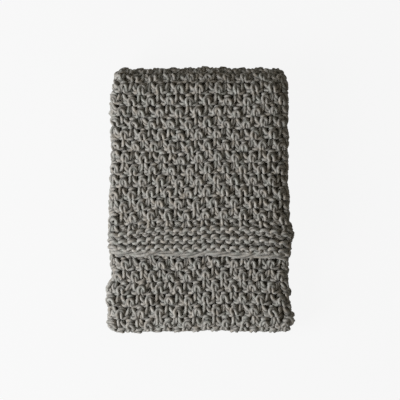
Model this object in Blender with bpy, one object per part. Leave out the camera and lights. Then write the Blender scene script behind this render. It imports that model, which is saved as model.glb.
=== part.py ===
"""A chunky knit throw, folded in three across its width and in three along its length.

The throw is one knitted piece: double moss stitch, with a garter stitch border knitted in one
with it at each end. Its side thirds are folded back and forth first, which gives a strip three
layers thick. The strip is then folded like a letter: one end third over the middle, and the
other end, a little shorter, down over both as the flap. So the solid is the strip's section
carried along the strip's own path.

Frame: origin under the middle of the pack, +X across it, +Y towards the fold that the flap
leaves from, +Z up. Metres.
"""

import math

import bmesh
import bpy
from mathutils import Matrix, Vector

# The pack as it lies
PACK_WIDTH = 0.434
FRONT_Y = -0.317
BACK_Y = 0.315
FLAP_END_Y = -0.134

# The knitted cloth
YARN = 0.0086
CLOTH = 1.7 * YARN
LAYER_GAP = 0.001
PANEL_GAP = 0.002

# The garter border at each end of the throw
RIDGES = 3
RIDGE_PITCH = 0.0212
GROOVE_DEPTH = 0.0026
END_ROUND = 0.0060

# What follows from these
LAYERS = 3
LAYER_PITCH = CLOTH + LAYER_GAP
STRIP = LAYERS * CLOTH + (LAYERS - 1) * LAYER_GAP
PANEL_PITCH = STRIP + PANEL_GAP
PACK_HEIGHT = 3 * STRIP + 2 * PANEL_GAP
BOTTOM, MIDDLE, TOP = STRIP / 2, STRIP / 2 + PANEL_PITCH, STRIP / 2 + 2 * PANEL_PITCH
FRONT_REACH = PANEL_PITCH / 2
BACK_REACH = 0.8 * PANEL_PITCH
FRONT_BEND_Y = FRONT_Y + STRIP / 2 + FRONT_REACH
BACK_BEND_Y = BACK_Y - STRIP / 2 - BACK_REACH
INNER_END_Y = BACK_BEND_Y + 0.004
SELVEDGE_INSET = 0.009

# How finely the solid is cut
LAYER_STEPS = 6
OUTSIDE_STEPS = 10
FOLD_STEPS = 8
SELVEDGE_STEPS = 4
FRONT_STEPS = 10
BACK_STEPS = 12
FLAP_STEPS = 15
UNDER_STEPS = 7
OVER_STEPS = 10
OVER_HIDDEN_STEPS = 4

# How far the pack's sides swell out (+) or draw in (-) along its length
SIDE_LINE = (
    # y, left, right
    (-0.318, 0.005, 0.006),
    (-0.304, 0.004, 0.006),
    (-0.288, 0.007, 0.015),
    (-0.262, 0.005, 0.008),
    (-0.236, 0.010, 0.003),
    (-0.212, 0.011, 0.004),
    (-0.190, -0.004, -0.001),
    (-0.162, -0.002, 0.000),
    (-0.140, -0.001, 0.001),
    (-0.104, 0.000, 0.006),
    (-0.076, 0.002, 0.012),
    (-0.046, 0.001, 0.002),
    (-0.008, 0.001, 0.001),
    (0.060, -0.002, -0.003),
    (0.095, -0.004, -0.001),
    (0.125, -0.006, -0.002),
    (0.150, -0.002, 0.000),
    (0.180, -0.006, -0.003),
    (0.207, -0.001, -0.002),
    (0.235, -0.004, -0.001),
    (0.263, -0.006, -0.002),
    (0.291, -0.012, -0.004),
    (0.318, -0.026, -0.014),
)

PANEL_LINE = (
    # height as a share of the pack, drawn in at the left, drawn in at the right
    (0.00, 0.000, 0.004),
    (0.17, 0.004, 0.000),
    (0.33, 0.001, 0.005),
    (0.50, 0.005, 0.001),
    (0.66, 0.000, 0.004),
    (0.83, 0.004, 0.002),
    (1.00, 0.000, 0.000),
)

# How far the end of each layer of the flap stops short of the longest one
END_LINE = (
    # height in the strip as a share, short by
    (0.00, 0.007),
    (0.50, 0.003),
    (1.00, 0.000),
)

# How much further the flap's right corner reaches than the middle of its end
FLAP_SKEW = 0.005

# How much lower the pack lies towards its sides, and at their very edge, as shares of its height
SIDE_DROOP = 0.05
EDGE_DROOP = 0.10
EDGE_START = 0.86

# Middle of the settled pack before it is moved over the origin
MIDDLE_X = 0.00224
MIDDLE_Y = -0.00078

KNIT_GREY = (0.141, 0.133, 0.115, 1.0)


def smooth_step(value):
    """0 below 0, 1 above 1, and a smooth rise between."""
    share = min(1.0, max(0.0, value))
    return share * share * (3.0 - 2.0 * share)


def read_table(table, at, column):
    """The value of one column at a place, eased from row to row."""
    if at <= table[0][0]:
        return table[0][column]
    for low, high in zip(table, table[1:]):
        if at <= high[0]:
            share = smooth_step((at - low[0]) / (high[0] - low[0]))
            return low[column] + share * (high[column] - low[column])
    return table[-1][column]


def arc(centre, radius, start_deg, turn_deg, steps):
    """Points on an arc in the section, both ends included."""
    points = []
    for step in range(steps + 1):
        angle = math.radians(start_deg + turn_deg * step / steps)
        points.append((centre[0] + radius * math.cos(angle), centre[1] + radius * math.sin(angle)))
    return points


def run(start_x, end_x, level, steps=LAYER_STEPS):
    """The inner points of one straight side of a layer, its two ends left out."""
    span = end_x - start_x
    return [(start_x + span * step / steps, level) for step in range(1, steps)]


def section_outline():
    """The strip's section, (across, up): one outline round three layers, back and forth.

    The outer layer starts at the right selvedge and folds into the middle one on the left. The
    middle one folds into the inner one on the right, and that one ends at the left selvedge.
    """
    half_cloth = CLOTH / 2
    fold_out = CLOTH + LAYER_GAP / 2
    fold_in = LAYER_GAP / 2
    fold_x = PACK_WIDTH / 2 - fold_out
    selvedge_x = PACK_WIDTH / 2 - SELVEDGE_INSET - half_cloth
    outer, middle, inner = LAYER_PITCH, 0.0, -LAYER_PITCH
    left_fold = (-fold_x, (outer + middle) / 2)
    right_fold = (fold_x, (middle + inner) / 2)
    inside_steps = FOLD_STEPS // 2

    points = arc((selvedge_x, outer), half_cloth, -90, 180, SELVEDGE_STEPS)
    points += run(selvedge_x, -fold_x, outer + half_cloth, OUTSIDE_STEPS)
    points += arc(left_fold, fold_out, 90, 180, FOLD_STEPS)
    points += run(-fold_x, fold_x, middle - half_cloth)
    points += arc(right_fold, fold_in, 90, -180, inside_steps)
    points += run(fold_x, -selvedge_x, inner + half_cloth)
    points += arc((-selvedge_x, inner), half_cloth, 90, 180, SELVEDGE_STEPS)
    points += run(-selvedge_x, fold_x, inner - half_cloth)
    points += arc(right_fold, fold_out, -90, 180, FOLD_STEPS)
    points += run(fold_x, -fold_x, middle + half_cloth)
    points += arc(left_fold, fold_in, -90, -180, inside_steps)
    points += run(-fold_x, selvedge_x, outer - half_cloth)
    return points


def inward(outline, index):
    """The unit direction, in the section, that points into the cloth at one of its points."""
    before = Vector(outline[index - 1])
    after = Vector(outline[(index + 1) % len(outline)])
    along = (after - before).normalized()
    return Vector((-along.y, along.x))


def end_stations():
    """How far from the throw's end each section stands, and how far it is drawn in there."""
    stations = []
    for share in (0.0, 0.3, 1.0):
        reach = END_ROUND * share
        drawn_in = END_ROUND - math.sqrt(END_ROUND**2 - (END_ROUND - reach) ** 2)
        stations.append((reach, drawn_in))
    for ridge in range(RIDGES):
        crest = (ridge + 0.55) * RIDGE_PITCH
        groove = (ridge + 1.0) * RIDGE_PITCH
        stations.append((crest, 0.0))
        stations.append((groove, GROOVE_DEPTH))
    stations.append(((RIDGES + 0.4) * RIDGE_PITCH, 0.0))
    return stations


def straight(start_y, end_y, level, turned, steps):
    """Sections along a flat panel, without its first one."""
    span = (end_y - start_y) / steps
    return [(start_y + span * step, level, turned, 0.0) for step in range(1, steps + 1)]


def bend(centre_y, start_z, end_z, reach, steps):
    """Sections round a bend from one panel to the next, without its first one.

    A negative reach bends towards -Y. The bend is half an ellipse, so that it can be flatter
    than a half circle.
    """
    centre_z = (start_z + end_z) / 2
    half_height = (start_z - end_z) / 2
    sections = []
    for step in range(1, steps + 1):
        angle = math.pi * step / steps
        y = centre_y + reach * math.sin(angle)
        z = centre_z + half_height * math.cos(angle)
        heading = math.atan2(half_height * math.sin(angle), reach * math.cos(angle))
        sections.append((y, z, math.degrees(heading), 0.0))
    return sections


def strip_stations():
    """Each section along the strip: its place (y, z), how far it has turned, how far it is drawn in.

    The flap's end comes first. The strip runs along +Y as the flap, down behind, along -Y as the
    bottom panel, up in front, and along +Y again as the middle panel, which ends inside the bend
    at the back.
    """
    flap = [(FLAP_END_Y + reach, TOP, 0.0, drawn_in) for reach, drawn_in in end_stations()]
    stations = list(flap)
    stations += straight(flap[-1][0], BACK_BEND_Y, TOP, 0.0, FLAP_STEPS)
    stations += bend(BACK_BEND_Y, TOP, BOTTOM, BACK_REACH, BACK_STEPS)
    stations += straight(BACK_BEND_Y, FRONT_BEND_Y, BOTTOM, 180.0, UNDER_STEPS)
    stations += bend(FRONT_BEND_Y, BOTTOM, MIDDLE, -FRONT_REACH, FRONT_STEPS)
    stations += straight(FRONT_BEND_Y, FLAP_END_Y, MIDDLE, 0.0, OVER_STEPS)
    inner = [(INNER_END_Y - reach, MIDDLE, 0.0, drawn_in) for reach, drawn_in in end_stations()]
    stations += straight(FLAP_END_Y, inner[-1][0], MIDDLE, 0.0, OVER_HIDDEN_STEPS)
    stations += reversed(inner[:-1])
    return stations


def settle(point):
    """Where a point of the squarely folded pack lies once the cloth has settled.

    The underside stays flat on the floor.
    """
    x, y, z = point
    share = z / PACK_HEIGHT
    side = x / (PACK_WIDTH / 2)
    column = 1 if x < 0 else 2
    swell = read_table(SIDE_LINE, y, column) - read_table(PANEL_LINE, share, column)
    x += swell * side

    y += 0.0015 * math.sin(4.2 * side + 1.0) + 0.002 * math.sin(11.0 * side) * share
    flap_base = 2 * PANEL_PITCH
    if z > flap_base:
        tail = smooth_step((FLAP_END_Y + 0.060 - y) / 0.060)
        y += tail * (read_table(END_LINE, (z - flap_base) / STRIP, 1) - FLAP_SKEW * side)
        z = flap_base + (z - flap_base) * (1.0 - 0.12 * tail)

    edge = min(1.0, max(0.0, (abs(side) - EDGE_START) / (1.0 - EDGE_START)))
    low_sides = SIDE_DROOP * smooth_step((abs(side) - 0.6) / 0.4) + EDGE_DROOP * edge**2
    waves = math.sin(9.0 * y + 3.5 * side) + 0.6 * math.sin(23.0 * y - 5.0 * side + 1.3)
    z *= 1.0 - low_sides + 0.012 * waves * share
    return Vector((x - MIDDLE_X, y - MIDDLE_Y, z))


def knit_material():
    """Heather grey wool yarn."""
    material = bpy.data.materials.new("grey_wool_knit")
    material.use_nodes = True
    shader = material.node_tree.nodes["Principled BSDF"]
    shader.inputs["Base Color"].default_value = KNIT_GREY
    shader.inputs["Roughness"].default_value = 0.92
    shader.inputs["Metallic"].default_value = 0.0
    return material


def place_section(vertices, order, outline, station):
    """Moves one section's vertices to their station along the strip."""
    y, z, turned, drawn_in = station
    frame = Matrix.Translation((0.0, y, z)) @ Matrix.Rotation(math.radians(-turned), 4, "X")
    for vertex in vertices:
        index = vertex[order]
        across, up = Vector(outline[index]) + drawn_in * inward(outline, index)
        vertex.co = frame @ Vector((across, 0.0, up))


def build_blanket():
    """The throw as one closed solid: its section, extruded from station to station and settled."""
    mesh = bmesh.new()
    order = mesh.verts.layers.int.new("outline")
    outline = section_outline()
    stations = strip_stations()
    ring = [mesh.verts.new() for _ in outline]
    for index, vertex in enumerate(ring):
        vertex[order] = index
    edges = [mesh.edges.new((ring[index - 1], ring[index])) for index in range(len(ring))]
    place_section(ring, order, outline, stations[0])
    mesh.faces.new(ring)
    for station in stations[1:]:
        made = bmesh.ops.extrude_edge_only(mesh, edges=edges)["geom"]
        edges = [item for item in made if isinstance(item, bmesh.types.BMEdge)]
        ring = [item for item in made if isinstance(item, bmesh.types.BMVert)]
        place_section(ring, order, outline, station)
    mesh.faces.new(sorted(ring, key=lambda vertex: vertex[order]))
    for vertex in mesh.verts:
        vertex.co = settle(vertex.co)
    bmesh.ops.triangulate(mesh, faces=mesh.faces)
    bmesh.ops.recalc_face_normals(mesh, faces=mesh.faces)
    if mesh.calc_volume(signed=True) < 0.0:
        bmesh.ops.reverse_faces(mesh, faces=mesh.faces)

    data = bpy.data.meshes.new("blanket")
    mesh.to_mesh(data)
    mesh.free()
    data.shade_smooth()
    data.materials.append(knit_material())
    return bpy.data.objects.new("blanket", data)


def main():
    """Clears the scene and puts the folded throw in its own collection."""
    for old in list(bpy.data.objects):
        bpy.data.objects.remove(old)
    collection = bpy.data.collections.new("folded_knit_throw")
    bpy.context.scene.collection.children.link(collection)
    collection.objects.link(build_blanket())


main()
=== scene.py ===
"""Looks of the folded chunky knit throw: its yarn, stitch by stitch, on the fold of its CAD solid.

The cloth has flat coordinates: u across it from the outer layer's selvedge, v along it from the
cast-on edge, and h off its middle surface. FoldMap carries them to the folded pack. A thin dark
sheet lies on the middle surface and closes the gaps; its colour is wool darkened with painted
shade, for the deeper yarn in shade between the loops. Real loops of two-ply yarn lie round it
wherever the pack can be seen.
"""

import logging
import math
from dataclasses import dataclass, field
from enum import Enum
from typing import Dict, List, Sequence, Tuple

import bmesh
import bpy
import numpy as np
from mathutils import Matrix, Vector

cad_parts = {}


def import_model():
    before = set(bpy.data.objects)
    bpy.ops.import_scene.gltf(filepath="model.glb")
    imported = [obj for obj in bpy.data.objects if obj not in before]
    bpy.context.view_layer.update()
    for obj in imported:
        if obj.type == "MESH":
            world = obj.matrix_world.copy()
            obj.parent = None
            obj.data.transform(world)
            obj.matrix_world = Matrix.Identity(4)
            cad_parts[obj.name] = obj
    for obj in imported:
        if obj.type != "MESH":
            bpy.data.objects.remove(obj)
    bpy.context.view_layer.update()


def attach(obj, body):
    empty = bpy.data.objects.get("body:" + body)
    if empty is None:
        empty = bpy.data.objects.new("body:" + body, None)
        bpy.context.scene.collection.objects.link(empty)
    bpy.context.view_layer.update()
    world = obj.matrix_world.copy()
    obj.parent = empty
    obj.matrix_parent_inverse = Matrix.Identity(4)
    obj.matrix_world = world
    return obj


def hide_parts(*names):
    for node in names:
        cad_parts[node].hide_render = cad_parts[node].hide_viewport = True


LOG = logging.getLogger("folded_knit_throw")
MM = 0.001
LOOP_POINTS = 10  # control points of the yarn in one stitch
EDGE_LINE = 0.006  # from an end of the cloth to the doubled yarn along it


@dataclass(frozen=True)
class PackSizes:
    """Sizes of the folded pack, in metres, the same as those its solid was made from.

    The cloth is 1.7 times as thick as its yarn. The selvedges lie a little inside the folds, the
    flap's end runs a little askew, and middle_x and middle_y centre the settled pack.
    """

    width: float = 0.434
    front_y: float = -0.317
    back_y: float = 0.315
    flap_end_y: float = -0.134
    cloth: float = 1.7 * 0.0086
    layer_gap: float = 0.001
    panel_gap: float = 0.002
    selvedge_inset: float = 0.009
    flap_skew: float = 0.005
    middle_x: float = 0.00224
    middle_y: float = -0.00078
    back_roundness: float = 0.8
    inner_end: float = 0.004

    @property
    def layer_pitch(self) -> float:
        """From one layer of cloth to the next."""
        return self.cloth + self.layer_gap

    @property
    def strip(self) -> float:
        """Thickness of the three-layer strip."""
        return 3 * self.cloth + 2 * self.layer_gap

    @property
    def panel_pitch(self) -> float:
        """From one panel of the strip to the next."""
        return self.strip + self.panel_gap

    @property
    def height(self) -> float:
        """Height of the pack before it settles."""
        return 3 * self.strip + 2 * self.panel_gap

    @property
    def back_reach(self) -> float:
        """How far the back bend's middle line reaches past the straight panels."""
        return self.back_roundness * self.panel_pitch

    @property
    def front_reach(self) -> float:
        """The same for the front bend."""
        return self.panel_pitch / 2

    @property
    def front_bend_y(self) -> float:
        """Where the front bend starts."""
        return self.front_y + self.strip / 2 + self.front_reach

    @property
    def back_bend_y(self) -> float:
        """Where the back bend starts."""
        return self.back_y - self.strip / 2 - self.back_reach

    @property
    def inner_end_y(self) -> float:
        """Where the strip ends, inside the back bend."""
        return self.back_bend_y + self.inner_end


SIDE_LINE = (
    # y, left, right: how far the pack's sides swell out (+) or draw in (-) along its length
    (-0.318, 0.005, 0.006),
    (-0.304, 0.004, 0.006),
    (-0.288, 0.007, 0.015),
    (-0.262, 0.005, 0.008),
    (-0.236, 0.010, 0.003),
    (-0.212, 0.011, 0.004),
    (-0.190, -0.004, -0.001),
    (-0.162, -0.002, 0.000),
    (-0.140, -0.001, 0.001),
    (-0.104, 0.000, 0.006),
    (-0.076, 0.002, 0.012),
    (-0.046, 0.001, 0.002),
    (-0.008, 0.001, 0.001),
    (0.060, -0.002, -0.003),
    (0.095, -0.004, -0.001),
    (0.125, -0.006, -0.002),
    (0.150, -0.002, 0.000),
    (0.180, -0.006, -0.003),
    (0.207, -0.001, -0.002),
    (0.235, -0.004, -0.001),
    (0.263, -0.006, -0.002),
    (0.291, -0.012, -0.004),
    (0.318, -0.026, -0.014),
)

PANEL_LINE = (
    # height as a share of the pack, drawn in at the left, drawn in at the right
    (0.00, 0.000, 0.004),
    (0.17, 0.004, 0.000),
    (0.33, 0.001, 0.005),
    (0.50, 0.005, 0.001),
    (0.66, 0.000, 0.004),
    (0.83, 0.004, 0.002),
    (1.00, 0.000, 0.000),
)

END_LINE = (
    # height in the strip as a share, how far the flap's end stops short there
    (0.00, 0.007),
    (0.50, 0.003),
    (1.00, 0.000),
)

FLAP_PULL = (
    # u, how far the folds at the flap's sides pull its first rows down
    (0.000, 0.011),
    (0.115, 0.000),
    (0.345, 0.000),
    (0.420, 0.014),
)


def smooth_step(value: np.ndarray) -> np.ndarray:
    """0 below 0, 1 above 1, and a smooth rise between."""
    share = np.clip(value, 0.0, 1.0)
    return share * share * (3.0 - 2.0 * share)


def read_table(table: Sequence[Sequence[float]], at: np.ndarray, column: int) -> np.ndarray:
    """One column of a table at many places, eased from row to row.

    Args:
        table: Rows that start with the place they stand for, in rising order.
        at: The places to read.
        column: Which column to read.

    Returns:
        The eased values, one for each place.
    """
    rows = np.asarray(table, float)
    upper = np.clip(np.searchsorted(rows[:, 0], at), 1, len(rows) - 1)
    low, high = rows[upper - 1], rows[upper]
    share = smooth_step((at - low[..., 0]) / (high[..., 0] - low[..., 0]))
    return low[..., column] + share * (high[..., column] - low[..., column])


@dataclass(frozen=True)
class Wave:
    """A slow wave over a surface with two coordinates.

    Attributes:
        size: How far it moves a point at most.
        first: Radians for each unit of the first coordinate.
        second: Radians for each unit of the second one.
        start: Radians where both are 0.
    """

    size: float
    first: float
    second: float = 0.0
    start: float = 0.0

    def at(self, first: np.ndarray, second: np.ndarray) -> np.ndarray:
        """How far it moves each of many places."""
        return self.size * np.sin(self.first * first + self.second * second + self.start)


@dataclass(frozen=True)
class EdgeSag:
    """How the top sinks towards a side of the pack: a gentle slope and a steeper rim.

    Slope and rim are shares of the height, and the rest are places and widths out to the side.
    """

    slope: float
    rim: float
    rim_from: float
    rim_width: float
    slope_from: float = 0.6
    slope_width: float = 0.4

    def at(self, out: np.ndarray) -> np.ndarray:
        """How far the top sinks at many places.

        Args:
            out: The places, from the middle, 0, to the side, 1.

        Returns:
            The share of its height that the pack loses at each.
        """
        gentle = self.slope * smooth_step((out - self.slope_from) / self.slope_width)
        steep = np.clip((out - self.rim_from) / self.rim_width, 0.0, 1.0) ** 2
        return gentle + self.rim * steep


@dataclass
class Track:
    """A line in a plane with a normal at each point, read by the distance along it."""

    places: List[Tuple[float, float]] = field(default_factory=list)
    normals: List[Tuple[float, float]] = field(default_factory=list)
    distance: np.ndarray = field(init=False)

    def add(self, place: Tuple[float, float], normal: Tuple[float, float]) -> None:
        """Adds a point and its unit normal."""
        self.places.append(place)
        self.normals.append(normal)

    def measure(self, offset: float, zero: int) -> None:
        """Measures the distances along the line that stands off this one.

        Args:
            offset: How far along the normals the measured line stands off.
            zero: Index of the point from which distances count.
        """
        line = np.asarray(self.places) + offset * np.asarray(self.normals)
        steps = np.linalg.norm(np.diff(line, axis=0), axis=1)
        self.distance = np.concatenate(([0.0], np.cumsum(steps)))
        self.distance -= self.distance[zero]

    def at(self, distance: np.ndarray) -> Tuple[np.ndarray, np.ndarray]:
        """Places and normals at many distances.

        Args:
            distance: The distances along the line.

        Returns:
            The places and the unit normals, each with two columns.
        """
        places, normals = np.asarray(self.places), np.asarray(self.normals)
        read = [np.interp(distance, self.distance, values[:, axis])
                for values in (places, normals) for axis in (0, 1)]
        return np.stack(read[:2], -1), np.stack(read[2:], -1)


@dataclass
class FoldMap:
    """Carries flat cloth coordinates (u, v, h) to the folded, settled pack.

    The stitches lie flatter where the cloth is stretched round a fold. The pack's ends wave a
    little, and the top sinks towards the sides and the back.
    """

    sizes: PackSizes
    overhang: float = 0.03  # how far the middle lines run on past the cloth's edges
    arc_steps: int = 32
    bend_start: int = 2  # the point of the line along the cloth where the back bend starts
    stretched_flat: float = 0.45  # the share of its relief that a stitch loses on a fold
    end_wave: Wave = Wave(0.0015, 4.2, start=1.0)
    top_end_wave: Wave = Wave(0.002, 11.0)
    tail: float = 0.060  # the length of the flap's end that thins and stops short
    thinning: float = 0.12
    left_sag: EdgeSag = EdgeSag(slope=0.02, rim=0.10, rim_from=0.90, rim_width=0.10)
    right_sag: EdgeSag = EdgeSag(slope=0.03, rim=0.16, rim_from=0.76, rim_width=0.24)
    back_sag: float = 0.09
    back_sag_from: float = 0.205
    back_sag_length: float = 0.11
    top_waves: Tuple[Wave, ...] = (Wave(0.012, 3.5, 9.0), Wave(0.0072, -5.0, 23.0, 1.3))
    blunt: float = 0.315  # how far from the middle the pack's ends start to be pressed in
    blunting: float = 0.5  # and by what share of the rest
    across: Track = field(init=False)
    along: Track = field(init=False)
    width: float = field(init=False)
    length: float = field(init=False)

    def __post_init__(self) -> None:
        """Lays out the fold across the cloth and the fold along it."""
        self.across = self._lay_across()
        self.along = self._lay_along()
        self.width = float(self.across.distance[-2])
        self.length = float(self.along.distance[-2])

    def _lay_across(self) -> Track:
        """Lays out the fold across the cloth.

        Returns:
            The middle line of the three layers, seen along the strip.
        """
        sizes = self.sizes
        radius = sizes.layer_pitch / 2
        edge_x = sizes.width / 2 - sizes.selvedge_inset
        fold_x = sizes.width / 2 - sizes.cloth - sizes.layer_gap / 2
        track = Track()
        track.add((edge_x + self.overhang, sizes.layer_pitch), (0.0, 1.0))
        track.add((edge_x, sizes.layer_pitch), (0.0, 1.0))
        for step in range(self.arc_steps + 1):
            angle = math.pi * (0.5 + step / self.arc_steps)
            out = (math.cos(angle), math.sin(angle))
            track.add((-fold_x + radius * out[0], radius + radius * out[1]), out)
        for step in range(self.arc_steps + 1):
            angle = math.pi * (0.5 - step / self.arc_steps)
            out = (math.cos(angle), math.sin(angle))
            track.add((fold_x + radius * out[0], -radius + radius * out[1]), (-out[0], -out[1]))
        track.add((-edge_x, -sizes.layer_pitch), (0.0, 1.0))
        track.add((-edge_x - self.overhang, -sizes.layer_pitch), (0.0, 1.0))
        track.measure(0.0, 1)
        return track

    def _lay_along(self) -> Track:
        """Lays out the fold along the cloth.

        Returns:
            The strip's middle line from the flap's end, seen from the side, as (y, z).
        """
        sizes = self.sizes
        bottom = sizes.strip / 2
        middle, top = bottom + sizes.panel_pitch, bottom + 2 * sizes.panel_pitch
        track = Track()
        track.add((sizes.flap_end_y - self.overhang, top), (0.0, 1.0))
        track.add((sizes.flap_end_y, top), (0.0, 1.0))
        self._bend(track, sizes.back_bend_y, top, bottom, sizes.back_reach)
        self._bend(track, sizes.front_bend_y, bottom, middle, -sizes.front_reach)
        track.add((sizes.inner_end_y, middle), (0.0, 1.0))
        track.add((sizes.inner_end_y + self.overhang, middle), (0.0, 1.0))
        track.measure(sizes.layer_pitch, 1)
        return track

    def _bend(self, track: Track, y: float, start_z: float, end_z: float, reach: float) -> None:
        """Adds half an ellipse that takes the strip from one height to another.

        Args:
            track: The line to add it to.
            y: Where the bend starts and ends.
            start_z: The height where it starts.
            end_z: The height where it ends.
            reach: How far it swings out, below 0 towards the front.
        """
        centre_z, half = (start_z + end_z) / 2, (start_z - end_z) / 2
        for step in range(self.arc_steps + 1):
            angle = math.pi * step / self.arc_steps
            place = (y + reach * math.sin(angle), centre_z + half * math.cos(angle))
            heading = math.atan2(half * math.sin(angle), reach * math.cos(angle))
            track.add(place, (math.sin(heading), math.cos(heading)))

    def place(self, flat: np.ndarray) -> np.ndarray:
        """Carries points to the pack.

        Args:
            flat: Rows of u, v and h, in metres.

        Returns:
            Rows of x, y and z, in metres.
        """
        across, side_normal = self.across.at(flat[:, 0])
        along, end_normal = self.along.at(flat[:, 1])
        turned = np.maximum(np.abs(side_normal[:, 0]), np.abs(end_normal[:, 0]))
        height = flat[:, 2] * (1.0 - self.stretched_flat * turned)
        x = across[:, 0] + height * side_normal[:, 0]
        up = across[:, 1] + height * side_normal[:, 1]
        y = along[:, 0] + up * end_normal[:, 0]
        z = along[:, 1] + up * end_normal[:, 1]
        return self.settle(x, y, z, flat[:, 1] < self.along.distance[self.bend_start])

    def settle(
        self, x: np.ndarray, y: np.ndarray, z: np.ndarray, in_flap: np.ndarray
    ) -> np.ndarray:
        """Where points of the squarely folded pack lie once the cloth has settled.

        Args:
            x: Their places across the pack, in metres.
            y: Their places along it.
            z: Their heights.
            in_flap: Which of them are in the flap.

        Returns:
            Rows of x, y and z, in metres.
        """
        sizes = self.sizes
        share = z / sizes.height
        side = x / (sizes.width / 2)
        left = read_table(SIDE_LINE, y, 1) - read_table(PANEL_LINE, share, 1)
        right = read_table(SIDE_LINE, y, 2) - read_table(PANEL_LINE, share, 2)
        x = x + np.where(x < 0, left, right) * side

        y = y + self.end_wave.at(side, y) + self.top_end_wave.at(side, y) * share
        flap_base = 2 * sizes.panel_pitch
        tail = smooth_step((sizes.flap_end_y + self.tail - y) / self.tail)
        short = read_table(END_LINE, (z - flap_base) / sizes.strip, 1) - sizes.flap_skew * side
        y = np.where(in_flap, y + tail * short, y)
        z = np.where(in_flap, flap_base + (z - flap_base) * (1.0 - self.thinning * tail), z)

        low_sides = self.left_sag.at(-side) + self.right_sag.at(side)
        low_back = self.back_sag * smooth_step((y - self.back_sag_from) / self.back_sag_length)
        waves = sum(wave.at(side, y) for wave in self.top_waves)
        z = z * (1.0 - low_sides - low_back + waves * share)
        y = y - sizes.middle_y
        y = y - np.sign(y) * self.blunting * np.maximum(np.abs(y) - self.blunt, 0.0)
        return np.stack((x - sizes.middle_x, y, z), -1)


class Stitch(Enum):
    """How a stitch looks from the cloth's outer face."""

    KNIT = 1
    PURL = -1


@dataclass(frozen=True)
class LoopPoint:
    """One place on the right half of a loop.

    Attributes:
        aside: Its distance from the loop's middle, as a share of half a stitch.
        rise: Its height above the row's line, as a share of a row.
        lift: Its height off the cloth's middle, as a share of the relief, above 0 at the face.
    """

    aside: float
    rise: float
    lift: float


@dataclass(frozen=True)
class LoopForm:
    """The path of the yarn through one kind of stitch, from the sinker up to the head."""

    sinker: LoopPoint
    base: LoopPoint
    waist: LoopPoint
    shoulder: LoopPoint
    brow: LoopPoint
    head: LoopPoint


@dataclass(frozen=True)
class Unevenness:
    """How much handmade stitches differ from each other, as standard deviations.

    Attributes:
        aside: How far a loop lies to one side, in metres.
        rise: How far its head is drawn up, in metres.
        width: How much wider it is, as a share.
        depth: How much deeper it is, as a share.
    """

    aside: float
    rise: float
    width: float
    depth: float


HEAD_UNDER_KNIT = -0.9  # the lift of a head that the knit stitch above it pulls to the back
SHOULDER_UNDER_KNIT = 0.1
BORDER_FORMS = {
    Stitch.KNIT: LoopForm(
        sinker=LoopPoint(1.00, 0.00, -1.2),
        base=LoopPoint(0.46, 0.06, -0.9),
        waist=LoopPoint(0.50, 0.52, -0.9),
        shoulder=LoopPoint(0.66, 1.02, 0.4),
        brow=LoopPoint(0.50, 1.34, 1.6),
        head=LoopPoint(0.00, 1.42, 2.2),
    ),
    Stitch.PURL: LoopForm(
        sinker=LoopPoint(1.00, -0.54, 1.2),
        base=LoopPoint(0.46, -0.10, 0.3),
        waist=LoopPoint(0.50, 0.52, -1.2),
        shoulder=LoopPoint(0.60, 0.95, -1.0),
        brow=LoopPoint(0.36, 1.15, -0.9),
        head=LoopPoint(0.00, 1.20, -0.9),
    ),
}


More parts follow.
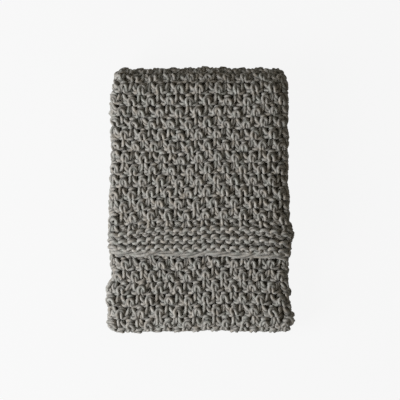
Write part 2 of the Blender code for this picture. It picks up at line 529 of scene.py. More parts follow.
@dataclass
class MossRepeat:
    """One repeat of double moss stitch, two stitches by four rows, with its loops at rest.

    The yarn starts as plain round loops, linked as the knitting links them. Then it shortens or
    slackens to its real length, keeps off its neighbours by its own thickness and evens its bends,
    while the repeat's own size stays. Knit stitches come forward of purl ones, as in ribbing.

    Attributes:
        stitch_width: Width of a stitch, in metres.
        row_height: Height of a row, in metres.
        yarn: Thickness of the yarn, in metres.
        loops: The loops at rest, for each row and column, off the loop's own middle and row line.
    """

    stitch_width: float
    row_height: float
    yarn: float
    columns: int = 2
    rows: int = 4
    points: int = 2 * LOOP_POINTS
    slack: float = 1.12  # the yarn's length at rest, as a share of the plain loops'
    touching: float = 0.0080  # how near the middles of two strands come
    push: float = 0.4  # the share of an overlap that a round takes away
    pull: float = 0.3  # the share of a wrong length that a pull takes away
    pulls: int = 4
    own_reach: float = 1.25  # how far along its own yarn a point is no neighbour, in thicknesses
    stiffness: float = 0.2  # the share of a bend that evens out in a round
    last_stiffness: float = 0.3  # the stiffness of the last rounds, as a share of that
    forward: float = 0.00008  # how far a round moves the legs of a knit stitch towards the face
    bump: float = 0.00005  # and the heads of purl stitches that lie over each other
    leg_places: Tuple[float, float] = (0.28, 0.72)  # as shares of the yarn in a stitch
    leg_length: float = 0.1
    head_place: float = 0.5
    head_length: float = 0.12
    depth: float = 0.35  # the depth of a plain loop, as a share of the yarn's thickness
    flatness: float = 0.45  # how deep the loops stay once the cloth is pressed flat
    rounds: int = 300
    last_rounds: int = 20
    easing: int = 3
    join: Tuple[float, float, float] = (0.50, -0.15, 0.0)  # where a plain loop meets the next
    leg_points: Tuple[int, ...] = (0, 1, 7, 8)
    head_points: Tuple[int, ...] = (2, 3, 4, 5, 6)
    plain_loop: Tuple[Tuple[float, float, float], ...] = (
        # aside as a share of a stitch, rise as a share of a row, front (+) or back (-)
        (-0.30, 0.00, -0.9),
        (-0.20, 0.45, 0.5),
        (-0.26, 0.95, 0.6),
        (-0.17, 1.28, 1.0),
        (0.00, 1.36, 1.0),
        (0.17, 1.28, 1.0),
        (0.26, 0.95, 0.6),
        (0.20, 0.45, 0.5),
        (0.30, 0.00, -0.9),
    )

    size: np.ndarray = field(init=False)
    stitch: np.ndarray = field(init=False)
    knit: np.ndarray = field(init=False)
    over: np.ndarray = field(init=False)
    rest_step: float = field(init=False)
    loops: np.ndarray = field(init=False)

    def __post_init__(self) -> None:
        """Lays out the plain loops and lets them settle."""
        self.stitch = np.array([self.stitch_width, self.row_height, self.depth * self.yarn])
        self.size = self.stitch * (self.columns, self.rows, 0.0)
        self.knit = np.array([[True, False], [True, False], [False, True], [False, True]])
        self.over = np.roll(self.knit, -1, 0)
        start = self._start()
        self.rest_step = np.linalg.norm(self._ahead(start) - start, axis=2).mean() * self.slack
        loops = self._settle(start, self.stiffness, self.rounds)
        self.rest_step = np.linalg.norm(self._ahead(loops) - loops, axis=2).mean()
        loops = self._settle(loops, self.last_stiffness * self.stiffness, self.last_rounds)
        for _ in range(self.easing):
            loops = 0.5 * loops + 0.25 * (self._ahead(loops) + self._behind(loops))
        loops[..., 2] *= self.flatness
        loops = loops.reshape(self.rows, self.columns, self.points, 3)
        loops[..., 0] -= (np.arange(self.columns)[:, None] + 0.5) * self.stitch_width
        loops[..., 1] -= (np.arange(self.rows) * self.row_height)[:, None, None]
        self.loops = loops[:, :, ::2]

    def _start(self) -> np.ndarray:
        """Links plain loops as the knitting links them.

        Returns:
            Points of each row's yarn, at even steps.
        """
        rows = []
        for row in range(self.rows):
            for column in range(self.columns):
                knit = self.knit[row]
                side = 1.0 if knit[column] else -1.0
                head = -1.0 if self.over[row, column] else 1.0
                form = np.array(self.plain_loop)
                form[self.leg_points, 2] *= side
                form[self.head_points, 2] *= head
                join = np.array([self.join])
                form = np.concatenate((join * (-1.0, 1.0, 1.0), form, join))
                curve = round_off(form * self.stitch, 6)
                steps = np.linalg.norm(np.diff(curve, axis=0), axis=1)
                run = np.concatenate(([0.0], np.cumsum(steps)))
                at = np.arange(self.points) / self.points * run[-1]
                loop = np.stack([np.interp(at, run, curve[:, axis]) for axis in range(3)], -1)
                rows.append(loop + np.array([column + 0.5, row, 0.0]) * self.stitch)
        return np.array(rows).reshape(self.rows, -1, 3)

    def _ahead(self, yarn: np.ndarray) -> np.ndarray:
        """The next point of each point, into the next repeat at a row's end."""
        return np.concatenate((yarn[:, 1:], yarn[:, :1] + self.size * (1.0, 0.0, 0.0)), 1)

    def _behind(self, yarn: np.ndarray) -> np.ndarray:
        """The point before each point."""
        return np.concatenate((yarn[:, -1:] - self.size * (1.0, 0.0, 0.0), yarn[:, :-1]), 1)

    def _press(self) -> np.ndarray:
        """Works out what brings some loops forward and others back.

        Returns:
            How far a round moves each point of each row towards the face.
        """
        along = np.arange(self.points) / self.points
        legs = sum(np.exp(-(((along - leg) / self.leg_length) ** 2)) for leg in self.leg_places)
        head = np.exp(-(((along - self.head_place) / self.head_length) ** 2))
        face = np.where(self.knit, 1.0, -1.0)[..., None] * legs * self.forward
        bumps = 1.0 * (~self.knit & ~self.over) - 1.0 * (self.knit & self.over)
        return (face + bumps[..., None] * head * self.bump).reshape(self.rows, -1)

    def _settle(self, yarn: np.ndarray, stiffness: float, rounds: int) -> np.ndarray:
        """Lets the yarn come to rest.

        Args:
            yarn: Points of each row's yarn.
            stiffness: How much of a bend evens out in a round.
            rounds: How many rounds.

        Returns:
            The points at rest.
        """
        press = self._press()
        points = yarn.shape[1]
        row = np.repeat(np.arange(self.rows), points)
        place = np.tile(np.arange(points), self.rows)
        beside = math.ceil(self.touching * self.own_reach / self.rest_step)
        for _ in range(rounds):
            flat = yarn.reshape(-1, 3)
            apart = flat[:, None] - flat[None]
            wraps = np.round(apart[..., :2] / self.size[:2])
            apart[..., :2] -= wraps * self.size[:2]
            distance = np.sqrt((apart**2).sum(-1)) + 1e-9
            along = np.abs(place[:, None] - place[None] - wraps[..., 0] * points)
            own = (row[:, None] == row[None]) & (wraps[..., 1] == 0) & (along <= beside)
            near = (distance < self.touching) & ~own
            push = np.where(near, (self.touching - distance) / distance, 0.0)[..., None] * apart
            shove = push.sum(1) / np.maximum(near.sum(1), 1)[:, None]
            yarn = yarn + self.push * shove.reshape(yarn.shape)
            for _ in range(self.pulls):
                step = self._ahead(yarn) - yarn
                length = np.linalg.norm(step, axis=2, keepdims=True)
                pull = self.pull * step * (1.0 - self.rest_step / length)
                yarn = yarn + pull - np.roll(pull, 1, 1)
            bend = (self._ahead(yarn) + self._behind(yarn)) / 2 - yarn
            yarn = yarn + stiffness * (bend - (np.roll(bend, 1, 1) + np.roll(bend, -1, 1)) / 2)
            yarn[..., 2] += press
            yarn[..., 2] -= yarn[..., 2].mean()
        return yarn


@dataclass
class Knitting:
    """The stitches of the whole throw, laid out flat, in metres.

    Attributes:
        width: Width of the cloth.
        length: Length of the cloth.
        relaxed_until: Distance along the cloth from which it lies a little stretched.
        stretched_row: Height of a row there.
        edge: From an end of the cloth to the line of its first row.
        yarn: Thickness of the yarn, before its two plies shape it.
        rows: The line of each row, as its distance along the cloth.
    """

    width: float
    length: float
    relaxed_until: float = 1.05
    stitch_width: float = 0.0225
    row_height: float = 0.01363
    stretched_row: float = 0.0143
    border_row: float = 0.0106
    border_rows: int = 6
    edge: float = 0.0075
    yarn: float = 0.0114
    seed: int = 27
    moss_uneven: Unevenness = Unevenness(aside=0.0008, rise=0.0009, width=0.05, depth=0.16)
    garter_uneven: Unevenness = Unevenness(aside=0.0005, rise=0.0006, width=0.05, depth=0.10)
    relief: float = 0.42  # the depth of garter stitch, as a share of the yarn's thickness
    tilt: float = -0.6  # how much further back the left side of a garter loop lies than the right
    turn: float = 0.002  # how far the yarn's turns stand out of a selvedge
    sway: Tuple[Wave, ...] = (Wave(0.0035, 7.0, 11.0), Wave(0.0020, -13.0, 31.0, 1.0))
    heave: Tuple[Wave, ...] = (Wave(0.0022, 14.0, 5.0), Wave(0.0014, 33.0, -17.0))
    straight_side: float = 0.05  # the sway grows over this width from a selvedge
    straight_end: float = 0.08  # the heave grows over this length from the cast-on edge
    pull_growth: float = 0.06  # the pull of the folds grows over this length from there
    pull_end: float = 0.22  # and is gone here
    pull_fade: float = 0.15
    rows: List[float] = field(default_factory=list)
    columns: int = field(init=False)
    field_rows: int = field(init=False)
    moss: MossRepeat = field(init=False)
    uneven: np.ndarray = field(init=False)

    def __post_init__(self) -> None:
        """Works out the row lines and the unevenness of every stitch."""
        self.columns = round(self.width / self.stitch_width)
        self.stitch_width = self.width / self.columns
        row_line = self.edge
        field_end = self.length - self.edge - self.border_rows * self.border_row
        for _ in range(self.border_rows):
            self.rows.append(row_line)
            row_line += self.border_row
        while row_line < field_end - self.row_height / 2:
            self.rows.append(row_line)
            row_line += self.row_height if row_line < self.relaxed_until else self.stretched_row
        self.field_rows = len(self.rows) - self.border_rows
        for _ in range(self.border_rows + 1):
            self.rows.append(row_line)
            row_line += self.border_row
        self.moss = MossRepeat(self.stitch_width, self.row_height, self.yarn)
        shape = (len(self.rows) + 1, self.columns)
        self.uneven = np.random.default_rng(self.seed).normal(size=(4,) + shape)

    def kind(self, row: int, column: int) -> Stitch:
        """Garter stitch in the borders, double moss stitch between them.

        Args:
            row: The row, from the cast-on edge.
            column: The column, from the outer layer's selvedge.

        Returns:
            The kind of the stitch there.
        """
        into_field = row - self.border_rows
        if into_field < 0 or into_field >= self.field_rows:
            return Stitch.KNIT if row % 2 == 0 else Stitch.PURL
        return Stitch.KNIT if (column + into_field // 2) % 2 == 0 else Stitch.PURL

    def knits(self, row: int, first: int, last: int) -> np.ndarray:
        """Whether each stitch in part of a row is a knit one."""
        return np.array([self.kind(row, column) is Stitch.KNIT for column in range(first, last)])

    def row_at(self, distance: float) -> int:
        """The row whose line lies nearest a distance along the cloth."""
        return int(np.argmin(np.abs(np.asarray(self.rows) - distance)))

    def in_border(self, row: int) -> bool:
        """Whether a row is one of a garter stitch border."""
        return row < self.border_rows or row >= self.border_rows + self.field_rows

    def row_path(self, row: int, first: int, last: int) -> np.ndarray:
        """Control points of the yarn of part of a row.

        Args:
            row: The row.
            first: The first column.
            last: The column after the last one.

        Returns:
            Rows of u, v and h: LOOP_POINTS for each stitch, and the sinker after the last one.
        """
        if self.in_border(row):
            return self._garter_path(row, first, last)
        return self._moss_path(row, first, last)

    def _moss_path(self, row: int, first: int, last: int) -> np.ndarray:
        """The yarn of part of a row of double moss stitch.

        Args:
            row: The row.
            first: The first column.
            last: The column after the last one.

        Returns:
            Its control points, as row_path gives them.
        """
        line = self.rows[row]
        height = self.rows[row + 1] - line
        columns = np.arange(first, last + 1)
        repeat_row = (row - self.border_rows) % self.moss.rows
        loops = self.moss.loops[repeat_row, columns % self.moss.columns].copy()
        aside, rise, width, depth = self.uneven[:, row, first:last, None]
        loops[:-1, 1:, 0] *= 1.0 + self.moss_uneven.width * width
        loops[:-1, 1:, 0] += self.moss_uneven.aside * aside
        loops[:-1, 1:, 2] *= 1.0 + self.moss_uneven.depth * depth
        loops[..., 1] *= height / self.row_height
        rising = np.clip(loops[:-1, 1:, 1] / height, 0.0, 1.0)
        loops[:-1, 1:, 1] += self.moss_uneven.rise * rise * rising
        loops[..., 0] += (columns[:, None] + 0.5) * self.stitch_width
        loops[..., 1] += line
        return loops.reshape(-1, 3)[:(last - first) * LOOP_POINTS + 1]

    def _garter_path(self, row: int, first: int, last: int) -> np.ndarray:
        """The yarn of part of a row of garter stitch.

        Args:
            row: The row.
            first: The first column.
            last: The column after the last one.

        Returns:
            Its control points, as row_path gives them.
        """
        half = self.stitch_width / 2
        line = self.rows[row]
        height = self.rows[row + 1] - line
        relief = self.relief * self.yarn
        knit = self.knits(row, first, last)
        over = self.knits(row + 1, first, last)

        def read(place: str, value: str, kinds: np.ndarray = knit) -> np.ndarray:
            """One value of one place in the loop, for the kind of every stitch."""
            points = (getattr(BORDER_FORMS[kind], place) for kind in (Stitch.KNIT, Stitch.PURL))
            return np.where(kinds, *(getattr(point, value) for point in points))

        beside = self.knits(row, first - 1, last + 1)
        low = read("sinker", "rise", beside) * height
        dip = read("sinker", "lift", beside) * relief
        off, drawn, width, depth = self.uneven[:, row, first:last]
        uneven = self.garter_uneven
        centre = (np.arange(first, last) + 0.5) * self.stitch_width + uneven.aside * off
        wide = (1.0 + uneven.width * width) * half
        deep = relief * (1.0 + uneven.depth * depth)
        path = np.zeros((last - first, LOOP_POINTS, 3))
        ends = np.arange(first, last + 1) * self.stitch_width
        joins = np.stack((ends, line + (low[:-1] + low[1:]) / 2, (dip[:-1] + dip[1:]) / 2), -1)
        path[:, 0] = joins[:-1]
        for index, place in enumerate(("base", "waist", "shoulder", "brow", "head"), start=1):
            aside = read(place, "aside") * wide
            rise = read(place, "rise") * height + index / (LOOP_POINTS / 2) * uneven.rise * drawn
            lift = read(place, "lift")
            if place == "shoulder":
                lift = np.where(over, np.minimum(lift, SHOULDER_UNDER_KNIT), lift)
            if place in ("brow", "head"):
                lift = np.where(over, HEAD_UNDER_KNIT, lift)
            tilt = np.where(knit, self.tilt, 0.0) * aside / half
            path[:, index] = np.stack((centre - aside, line + rise, (lift + tilt) * deep), -1)
            path[:, -index] = np.stack((centre + aside, line + rise, (lift - tilt) * deep), -1)
        return np.concatenate((path.reshape(-1, 3), joins[-1:]))

    def drift(self, path: np.ndarray) -> np.ndarray:
        """Moves stitches along the cloth, where it lies a little askew.

        Rows and columns wander slowly, and the folds at both sides of the flap pull its first rows
        down towards the cast-on edge.

        Args:
            path: Rows of u, v and h.

        Returns:
            The moved rows.
        """
        u, v = path[:, 0], path[:, 1]
        sway = sum(wave.at(u, v) for wave in self.sway)
        sway *= np.clip(u / self.straight_side, 0.0, 1.0)
        sway *= np.clip((self.width - u) / self.straight_side, 0.0, 1.0)
        heave = sum(wave.at(u, v) for wave in self.heave)
        heave *= np.clip(v / self.straight_end, 0.0, 1.0)
        pull = read_table(FLAP_PULL, u, 1) * np.clip(v / self.pull_growth, 0.0, 1.0)
        pull *= smooth_step((self.pull_end - v) / self.pull_fade)
        return path + np.stack((sway, heave - pull, 0.0 * v), -1)

    def strands(self, rows: Tuple[int, int], columns: Tuple[int, int]) -> List[np.ndarray]:
        """The yarn of a patch, row by row, joined in turns where the patch reaches a selvedge.

        Args:
            rows: The first row and the row after the last one.
            columns: The first column and the column after the last one.

        Returns:
            The strands, each as control points in rows of u, v and h.
        """
        parts: List[np.ndarray] = []
        for row in range(*rows):
            path = self.drift(self.row_path(row, *columns))
            at_start = row % 2 == 1 and columns[0] == 0
            at_end = row % 2 == 0 and columns[1] == self.columns
            if (at_start or at_end) and parts:
                edge = -self.turn if at_start else self.width + self.turn
                turn = np.array([[edge, (self.rows[row - 1] + self.rows[row]) / 2, 0.0]])
                before = parts.pop()
                ends = (before[::-1], turn, path) if at_start else (before, turn, path[::-1])
                parts.append(np.concatenate(ends))
            else:
                parts.append(path)
        return parts


def round_off(points: np.ndarray, steps: int) -> np.ndarray:
    """A smooth curve through control points, as a row of closer points.

    Args:
        points: The control points.
        steps: How many points replace each of them.

    Returns:
        The closer points, from the first control point to the last.
    """
    start, end = 2 * points[:1] - points[1:2], 2 * points[-1:] - points[-2:-1]
    padded = np.concatenate((start, points, end))
    before, start, end, after = padded[:-3], padded[1:-2], padded[2:-1], padded[3:]
    parts = []
    for step in range(steps):
        share = step / steps
        parts.append(0.5 * (
            2 * start
            + (end - before) * share
            + (2 * before - 5 * start + 4 * end - after) * share**2
            + (3 * start - before - 3 * end + after) * share**3
        ))
    smooth = np.stack(parts, 1).reshape(-1, points.shape[1])
    return np.concatenate((smooth, points[-1:]))


def to_linear(code: str) -> Tuple[float, float, float, float]:
    """Turns an sRGB hex colour into a linear one.

    Args:
        code: The colour, as # and six hex digits.

    Returns:
        Its linear red, green and blue, and an alpha of 1.
    """
    channels = [int(code[start:start + 2], 16) / 255 for start in (1, 3, 5)]
    linear = [c / 12.92 if c <= 0.04045 else ((c + 0.055) / 1.055) ** 2.4 for c in channels]
    return (linear[0], linear[1], linear[2], 1.0)


class NodeTree:
    """Adds nodes to a material's tree."""

    def __init__(self, name: str) -> None:
        """Starts a material with its Principled shader.

        Args:
            name: The material's name.
        """
        self.material = bpy.data.materials.new(name)
        self.material.use_nodes = True
        self.tree = self.material.node_tree
        self.shader = self.tree.nodes["Principled BSDF"]

    def add(
        self, kind: str, settings: Dict[str, object], links: Dict[object, object]
    ) -> bpy.types.Node:
        """Adds a node.

        Args:
            kind: The node's type.
            settings: Values by property name, or by input name or number after "in:".
            links: Output sockets by the name or number of the input they feed.

        Returns:
            The new node.
        """
        node = self.tree.nodes.new(kind)
        for name, value in settings.items():
            if name.startswith("in:"):
                key = name[3:]
                node.inputs[int(key) if key.isdigit() else key].default_value = value
            else:
                setattr(node, name, value)
        for key, socket in links.items():
            self.tree.links.new(socket, node.inputs[key])
        return node

    def feed(self, name: str, socket: bpy.types.NodeSocket) -> None:
        """Links a socket to one of the shader's inputs."""
        self.tree.links.new(socket, self.shader.inputs[name])


@dataclass(frozen=True)
class Flecks:
    """Soft spots of two colours on a third one.

    Attributes:
        size_mm: Size of the spots.
        detail: How many finer sizes are mixed in.
        roughness: How strong the finer ones are.
        spread: How far from its middle value, 0.5, the noise reaches low and high.
        low: Colour of the spots at the noise's low side.
        middle: Colour between them.
        high: Colour of the spots at its high side.
    """

    size_mm: float
    detail: float
    roughness: float
    spread: float
    low: str
    middle: str
    high: str


@dataclass(frozen=True)
class HeatherWool:
    """Two-ply wool yarn, carded from several greys: matt, with soft flecks of other tints.

    The plies' crests catch the light. The grooves between them are dark from their shape and
    from painted shade, the colour darkened where the plies meet. The fibres' fuzz gives a faint
    sheen at the yarn's sides. Real flecks are only as wide as a fibre, which is too fine to show,
    so they are drawn as wide as the yarn and the tints a little wider.
    """

    name: str = "heather_wool_yarn"
    greys: Flecks = Flecks(size_mm=9.0, detail=3.0, roughness=0.6, spread=0.15,
                           low="#6d6a63", middle="#8b8881", high="#a3a19b")
    tints: Flecks = Flecks(size_mm=16.0, detail=2.0, roughness=0.5, spread=0.16,
                           low="#858b82", middle="#8b8881", high="#968b79")
    tinted: float = 0.35
    ply_mm: float = 2.6
    # painted shade: how far up the plies' crest height the darkened groove colour reaches
    painted_groove_shade_width: float = 0.55
    # painted shade: the share of the colour left at the bottom of a groove between the plies
    painted_groove_shade: float = 0.30
    roughness: float = 0.9
    sheen: float = 0.15
    sheen_roughness: float = 0.5

    def _plies(self, nodes: NodeTree) -> bpy.types.NodeSocket:
        """Follows the two plies that wind round the yarn.

        Args:
            nodes: The material's tree.

        Returns:
            Their height: 1 on a crest and 0 in a groove.
        """
        spun = nodes.add("ShaderNodeAttribute", {"attribute_name": "spun"}, {})
        parts = nodes.add("ShaderNodeSeparateXYZ", {}, {0: spun.outputs["Vector"]})
        angle = nodes.add("ShaderNodeMath", {"operation": "ARCTAN2"},
                          {0: parts.outputs["Y"], 1: parts.outputs["X"]})
        turn = nodes.add("ShaderNodeMath", {"operation": "ADD"},
                         {0: angle.outputs[0], 1: parts.outputs["Z"]})
        plies = nodes.add("ShaderNodeMath", {"operation": "MULTIPLY", "in:1": Yarn.plies / 2},
                          {0: turn.outputs[0]})
        wave = nodes.add("ShaderNodeMath", {"operation": "COSINE"}, {0: plies.outputs[0]})
        crest = nodes.add("ShaderNodeMath", {"operation": "ABSOLUTE"}, {0: wave.outputs[0]})
        return crest.outputs[0]

    def build(self) -> bpy.types.Material:
        """Mixes the greys and tints and shades the grooves between the plies.

        Returns:
            The material.
        """
        nodes = NodeTree(self.name)
        place = nodes.add("ShaderNodeTexCoord", {}, {}).outputs["Object"]
        colours = []
        for flecks in (self.greys, self.tints):
            settings = {"in:Scale": 1.0 / (flecks.size_mm * MM), "in:Detail": flecks.detail,
                        "in:Roughness": flecks.roughness}
            noise = nodes.add("ShaderNodeTexNoise", settings, {"Vector": place})
            ramp = nodes.add("ShaderNodeValToRGB", {}, {"Fac": noise.outputs["Fac"]})
            low, high = ramp.color_ramp.elements
            low.position, low.color = 0.5 - flecks.spread, to_linear(flecks.low)
            high.position, high.color = 0.5 + flecks.spread, to_linear(flecks.high)
            ramp.color_ramp.elements.new(0.5).color = to_linear(flecks.middle)
            colours.append(ramp.outputs["Color"])
        mixed = nodes.add("ShaderNodeMix",
                          {"data_type": "RGBA", "blend_type": "MIX", "in:0": self.tinted},
                          {6: colours[0], 7: colours[1]})
        ply = self._plies(nodes)
        # painted shade: darkens the colour in the grooves between the plies, where shade falls
        groove = nodes.add("ShaderNodeMapRange",
                           {"in:From Max": self.painted_groove_shade_width, "in:To Min": self.painted_groove_shade,
                            "in:To Max": 1.0},
                           {"Value": ply})
        shade = nodes.add("ShaderNodeMix",
                          {"data_type": "RGBA", "blend_type": "MULTIPLY", "in:0": 1.0},
                          {6: mixed.outputs[2], 7: groove.outputs["Result"]})
        nodes.feed("Base Color", shade.outputs[2])
        bump = nodes.add("ShaderNodeBump", {"in:Strength": 1.0, "in:Distance": self.ply_mm * MM},
                         {"Height": ply})
        nodes.feed("Normal", bump.outputs["Normal"])
        nodes.shader.inputs["Roughness"].default_value = self.roughness
        nodes.shader.inputs["Sheen Weight"].default_value = self.sheen
        nodes.shader.inputs["Sheen Roughness"].default_value = self.sheen_roughness
        return nodes.material


@dataclass(frozen=True)
class PaintedShadeWool:
    """The same wool deep between the stitches, where little light reaches it."""

    name: str = "wool_in_painted_shade"
    # painted shade: the wool's colour darkened for the deep gaps between the stitches
    colour: str = "#4c483f"
    roughness: float = 1.0

    def build(self) -> bpy.types.Material:
        """Makes the material.

        Returns:
            The material.
        """
        nodes = NodeTree(self.name)
        nodes.shader.inputs["Base Color"].default_value = to_linear(self.colour)
        nodes.shader.inputs["Roughness"].default_value = self.roughness
        return nodes.material


@dataclass(frozen=True)
class PaleBoard:
    """A plain, matt, near-white board, lit from behind so that shadows on it stay faint."""

    name: str = "pale_board"
    albedo: float = 0.008
    glow: float = 0.905
    roughness: float = 0.9

    def build(self) -> bpy.types.Material:
        """Makes the material.

        Returns:
            The material.
        """
        nodes = NodeTree(self.name)
        nodes.shader.inputs["Base Color"].default_value = (self.albedo,) * 3 + (1.0,)
        nodes.shader.inputs["Roughness"].default_value = self.roughness
        nodes.shader.inputs["Emission Color"].default_value = (1.0, 1.0, 1.0, 1.0)
        nodes.shader.inputs["Emission Strength"].default_value = self.glow
        return nodes.material


class Detail(Enum):
    """How finely a patch of knitting is made: rings of the tube for each control point."""

    FINE = 2
    COARSE = 1


@dataclass(frozen=True)
class Patch:
    """Part of the knitting that becomes one piece: some of the columns of some of the rows."""

    name: str
    rows: Tuple[int, int]
    columns: Tuple[int, int]
    detail: Detail


@dataclass(frozen=True)
class Yarn:
    """Spins yarn along paths: a tube with two plies that knows its own length and sides."""

    knitting: Knitting
    folds: FoldMap
    material: bpy.types.Material
    sides: int = 8
    plies: int = 2
    twist: float = 0.060  # the length of yarn in which its plies wind once round
    loose_twist: float = 0.15  # the same for the doubled yarn at the cloth's ends
    crest: float = 1.12  # how far out the plies' crests stand, as a share of the yarn's radius
    groove: float = 0.65  # and between their grooves
    pressed: float = 1.13  # how near the floor the yarn's middle comes, as a share of its radius
    pinch: float = 0.75  # how far the inside of a bend reaches, as a share of the bend's radius
    askew: Tuple[float, float, float] = (0.36, 0.48, 0.80)  # a direction in which no strand starts
    wind: float = 0.0042  # how far the doubled strands wind round their middle
    winds: int = 11
    wind_steps: int = 12
    overhang: float = 0.002  # how far they stand out at the selvedges

    @property
    def radius(self) -> float:
        """Half the yarn's thickness."""
        return self.knitting.yarn / 2

    def spin(self, name: str, strands: List[np.ndarray], twist: float) -> bpy.types.Object:
        """Makes one mesh of yarn that follows flat paths.

        Args:
            name: Name of the piece.
            strands: Paths as rows of u, v and h.
            twist: The length of yarn in which its plies wind once round.

        Returns:
            The piece.
        """
        curve = bpy.data.curves.new(name, "CURVE")
        curve.dimensions = "3D"
        curve.bevel_depth = self.radius
        curve.bevel_resolution = (self.sides - 4) // 2
        curve.twist_mode = "MINIMUM"
        runs = []
        centres = []
        for strand in strands:
            path = self.folds.place(strand)
            path[:, 2] = np.maximum(path[:, 2], self.pressed * self.radius)
            centres.append(path)
            steps = np.linalg.norm(np.diff(path, axis=0), axis=1)
            runs.append(np.concatenate(([0.0], np.cumsum(steps))))
            spline = curve.splines.new("POLY")
            spline.points.add(len(path) - 1)
            spline.points.foreach_set("co", np.column_stack((path, np.ones(len(path)))).ravel())
        source = bpy.data.objects.new(name + "_path", curve)
        bpy.context.scene.collection.objects.link(source)
        depsgraph = bpy.context.evaluated_depsgraph_get()
        mesh = bpy.data.meshes.new_from_object(source.evaluated_get(depsgraph))
        bpy.data.objects.remove(source)
        turn = np.repeat(np.concatenate(runs), self.sides) * 2 * math.pi / twist
        angle = 2 * math.pi * (np.arange(len(turn)) % self.sides) / self.sides
        self._shape_plies(mesh, centres, angle, turn)
        spun = np.stack((np.cos(angle), np.sin(angle), turn), -1).astype(np.float32)
        attribute = mesh.attributes.new("spun", "FLOAT_VECTOR", "POINT")
        attribute.data.foreach_set("vector", spun.ravel())
        self._close_ends(mesh)
        mesh.shade_smooth()
        mesh.name = name
        mesh.materials.clear()
        mesh.materials.append(self.material)
        piece = bpy.data.objects.new(name, mesh)
        bpy.context.scene.collection.objects.link(piece)
        return piece

    def _shape_plies(
        self, mesh: bpy.types.Mesh, centres: List[np.ndarray], angle: np.ndarray, turn: np.ndarray
    ) -> None:
        """Moves the tube's points out to the crests and grooves of the plies.

        Args:
            mesh: The tube, ring after ring.
            centres: The middle line of each strand.
            angle: Where round its ring each point lies, in radians.
            turn: How far the plies have turned there.
        """
        lines = self._carry(centres)
        axis, side, up, bend = (np.repeat(line, self.sides, axis=0) for line in lines)
        out = np.cos(angle)[:, None] * side + np.sin(angle)[:, None] * up
        crest = np.abs(np.cos(self.plies / 2 * (angle + turn)))
        reach = (self.groove + (self.crest - self.groove) * crest) * self.radius
        reach = np.minimum(reach, self.pinch / np.maximum((bend * out).sum(1), 1.0))
        mesh.vertices.foreach_set("co", (axis + reach[:, None] * out).ravel())

    def _carry(self, paths: List[np.ndarray]) -> Tuple[np.ndarray, ...]:
        """The points of all paths, with two directions square to the yarn, carried untwisted.

        Args:
            paths: The middle line of each strand.

        Returns:
            The points, one direction, the other, and the bend there, each as rows of x, y and z.
            The bend points to the middle of the bend and is one over its radius long.
        """
        longest = max(len(path) for path in paths)
        padded = []
        for path in paths:
            beyond = np.arange(1, longest - len(path) + 1)
            padded.append(np.concatenate((path, np.outer(beyond, path[-1] - path[-2]) + path[-1])))
        padded = np.stack(padded)
        ahead = np.gradient(padded, axis=1)
        step = np.linalg.norm(ahead, axis=2, keepdims=True)
        ahead /= step
        bend = np.gradient(ahead, axis=1) / step
        side = np.zeros_like(padded)
        carried = np.cross(ahead[:, 0], self.askew)
        for place in range(longest):
            square = (carried * ahead[:, place]).sum(1, keepdims=True)
            carried = carried - square * ahead[:, place]
            carried /= np.linalg.norm(carried, axis=1, keepdims=True)
            side[:, place] = carried
        up = np.cross(ahead, side)
        real = np.arange(longest) < np.array([len(path) for path in paths])[:, None]
        return padded[real], side[real], up[real], bend[real]

    @staticmethod
    def _close_ends(mesh: bpy.types.Mesh) -> None:
        """Closes the open ends of every strand.

        Args:
            mesh: The mesh of the strands.
        """
        shape = bmesh.new()
        shape.from_mesh(mesh)
        rims = [edge for edge in shape.edges if edge.is_boundary]
        bmesh.ops.holes_fill(shape, edges=rims, sides=0)
        bmesh.ops.recalc_face_normals(shape, faces=shape.faces)
        shape.to_mesh(mesh)
        shape.free()

    def knit(self, patch: Patch) -> bpy.types.Object:
        """Makes one patch of knitting.

        Args:
            patch: Its name, its stitches and how finely they are made.

        Returns:
            The piece.
        """
        paths = self.knitting.strands(patch.rows, patch.columns)
        smooth = [round_off(path, patch.detail.value) for path in paths]
        return self.spin(patch.name, smooth, self.twist)

    def doubled_edge(self, name: str, line: float) -> bpy.types.Object:
        """Makes the doubled yarn along an end of the cloth, two strands wound round each other.

        Args:
            name: Name of the piece.
            line: Where along the cloth it lies.

        Returns:
            The piece.
        """
        steps = self.wind_steps * self.winds + 1
        across = np.linspace(-self.overhang, self.knitting.width + self.overhang, steps)
        strands = []
        for half_turn in (0.0, math.pi):
            turn = np.linspace(0.0, 2 * math.pi * self.winds, steps) + half_turn
            along, off = self.wind * np.cos(turn), 0.5 * self.wind * np.sin(turn)
            strands.append(np.stack((across, line + along, off), -1))
        return self.spin(name, strands, self.loose_twist)


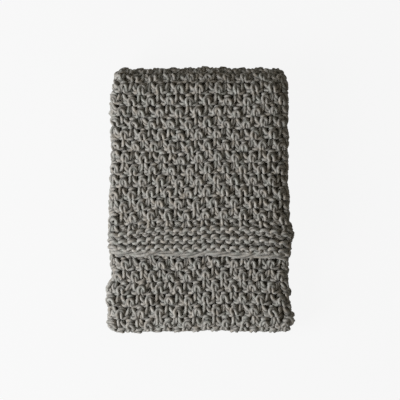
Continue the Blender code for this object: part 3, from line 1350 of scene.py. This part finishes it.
@dataclass(frozen=True)
class PaintedShadeBacking:
    """The dark ground that the yarn lies round: a thin sheet just inside the folded cloth.

    It lies on the hidden face of the outer layer and of the fold that shows on the right. Its
    colour is wool darkened with painted shade: it stands in for the deeper yarn between the
    loops, in the shade that falls there.
    """

    folds: FoldMap
    material: bpy.types.Material
    thickness: float = 0.002
    depth: float = 0.0046  # how far off the cloth's middle it lies
    crossing: float = 0.06  # the width over which it crosses the middle
    inset: float = 0.004  # how far it stays inside the cloth's edges
    cells: Tuple[int, int] = (180, 150)

    def build(self) -> bpy.types.Object:
        """Makes the sheet flat, folds it and gives it its thickness.

        Returns:
            The sheet.
        """
        shape = bmesh.new()
        across, along = self.cells
        bmesh.ops.create_grid(shape, x_segments=across, y_segments=along, size=0.5)
        flat = np.array([vertex.co for vertex in shape.verts])
        for axis, size in enumerate((self.folds.width, self.folds.length)):
            flat[:, axis] = self.inset + (flat[:, axis] + 0.5) * (size - 2 * self.inset)
        crossed = smooth_step((flat[:, 0] - self.folds.width / 2) / self.crossing + 0.5)
        flat[:, 2] = self.depth * (2.0 * crossed - 1.0)
        for vertex, place in zip(shape.verts, self.folds.place(flat)):
            vertex.co = place
        bmesh.ops.recalc_face_normals(shape, faces=shape.faces)
        mesh = bpy.data.meshes.new("painted_shade_backing")
        shape.to_mesh(mesh)
        shape.free()
        mesh.shade_smooth()
        mesh.materials.append(self.material)
        sheet = bpy.data.objects.new("painted_shade_backing", mesh)
        bpy.context.scene.collection.objects.link(sheet)
        solidify = sheet.modifiers.new("thickness", "SOLIDIFY")
        solidify.thickness = self.thickness
        solidify.offset = 0.0
        return sheet


@dataclass(frozen=True)
class Studio:
    """The floor, the lights and the camera."""

    view: float = 0.948  # width of the picture, in metres on the pack's top
    distance: float = 8.0
    sensor: float = 36.0
    clip_end: float = 20.0
    top: float = 0.142
    floor: float = 6.0
    key_place: Tuple[float, float, float] = (-2.31, -0.84, 1.72)
    key_size: float = 2.0
    key_power: float = 150.0
    key_colour: Tuple[float, float, float] = (0.99, 1.0, 1.045)
    sky_colour: Tuple[float, float, float, float] = (1.0, 0.92, 0.76, 1.0)
    sky_strength: float = 0.195

    def build(self) -> None:
        """Lays the floor, hangs the lights and sets the camera."""
        self._lay_floor()
        self._light()
        self._set_camera()
        bpy.context.scene.view_settings.view_transform = "Standard"

    def _lay_floor(self) -> None:
        """Lays a plain floor that throws no light back on the pack."""
        shape = bmesh.new()
        bmesh.ops.create_grid(shape, x_segments=1, y_segments=1, size=self.floor)
        mesh = bpy.data.meshes.new("floor")
        shape.to_mesh(mesh)
        shape.free()
        mesh.materials.append(PaleBoard().build())
        floor = bpy.data.objects.new("floor", mesh)
        bpy.context.scene.collection.objects.link(floor)
        floor.visible_diffuse = False

    def _light(self) -> None:
        """Hangs a square soft light low at the left, facing the pack, under an even sky."""
        lamp = bpy.data.lights.new("key", "AREA")
        lamp.size = self.key_size
        lamp.energy = self.key_power
        lamp.color = self.key_colour
        light = bpy.data.objects.new("key", lamp)
        light.location = self.key_place
        light.rotation_euler = (-Vector(self.key_place)).to_track_quat("-Z", "Y").to_euler()
        bpy.context.scene.collection.objects.link(light)
        world = bpy.data.worlds.new("soft_sky")
        world.use_nodes = True
        sky = world.node_tree.nodes["Background"]
        sky.inputs["Color"].default_value = self.sky_colour
        sky.inputs["Strength"].default_value = self.sky_strength
        bpy.context.scene.world = world

    def _set_camera(self) -> None:
        """Sets the camera straight above the pack."""
        camera = bpy.data.cameras.new("camera")
        camera.sensor_width = self.sensor
        camera.lens = self.sensor * self.distance / self.view
        camera.clip_end = self.clip_end
        viewer = bpy.data.objects.new("camera", camera)
        viewer.location = (0.0, 0.0, self.top + self.distance)
        bpy.context.scene.collection.objects.link(viewer)
        bpy.context.scene.camera = viewer


def lay_out_patches(knitting: Knitting) -> Tuple[Patch, ...]:
    """The parts of the knitting that can be seen from any side.

    The outer layer covers most of the pack, and the right fold joins the two layers under it. The
    other patches only show past the outer layer's edges and where the flap ends.

    Args:
        knitting: The stitches to share out.

    Returns:
        The patches, in the order in which they are made.
    """
    # columns from the outer layer's selvedge: that layer, the rest, and the fold at the right
    last = knitting.columns
    outer, inner, right_fold = (0, 21), (21, last), (36, 41)
    # rows at places along the cloth: the underside, the front bend, and where the flap covers it
    under, front, lap = (knitting.row_at(place) for place in (0.600, 1.095, 1.420))
    end = len(knitting.rows) - 1
    return (
        Patch("flap_border_knit", (0, 6), outer, Detail.FINE),
        Patch("flap_field_knit", (6, 26), outer, Detail.FINE),
        Patch("back_field_knit", (26, under), outer, Detail.FINE),
        Patch("underside_knit", (under, front), outer, Detail.COARSE),
        Patch("front_field_knit", (front, lap), outer, Detail.FINE),
        Patch("inner_selvedge_knit", (lap, end), (0, 3), Detail.COARSE),
        Patch("inner_fold_knit", (lap, end), (17, 22), Detail.COARSE),
        Patch("flap_end_knit", (0, 3), inner, Detail.COARSE),
        Patch("right_fold_knit", (3, end), right_fold, Detail.COARSE),
        Patch("left_selvedge_knit", (3, end), (last - 4, last), Detail.COARSE),
    )


def report(piece: bpy.types.Object) -> None:
    """Logs a finished piece."""
    LOG.info("%s: %d faces", piece.name, len(piece.data.polygons))


def main() -> None:
    """Builds the throw's pieces in order."""
    logging.basicConfig(level=logging.INFO)
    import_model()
    folds = FoldMap(PackSizes())
    LOG.info("cloth %.3f x %.3f m", folds.width, folds.length)
    knitting = Knitting(folds.width, folds.length)
    LOG.info("%d columns, %d rows", knitting.columns, len(knitting.rows))
    # a thin sheet of wool darkened with painted shade closes the gaps between the loops
    shaded_backing = PaintedShadeBacking(folds, PaintedShadeWool().build()).build()
    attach(shaded_backing, "root")
    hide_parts("blanket")
    report(shaded_backing)
    yarn = Yarn(knitting, folds, HeatherWool().build())
    pieces = [yarn.knit(patch) for patch in lay_out_patches(knitting)]
    pieces.append(yarn.doubled_edge("cast_on_edge", EDGE_LINE))
    pieces.append(yarn.doubled_edge("bind_off_edge", folds.length - EDGE_LINE))
    for piece in pieces:
        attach(piece, "root")
        report(piece)
    Studio().build()


if __name__ == "__main__":
    main()
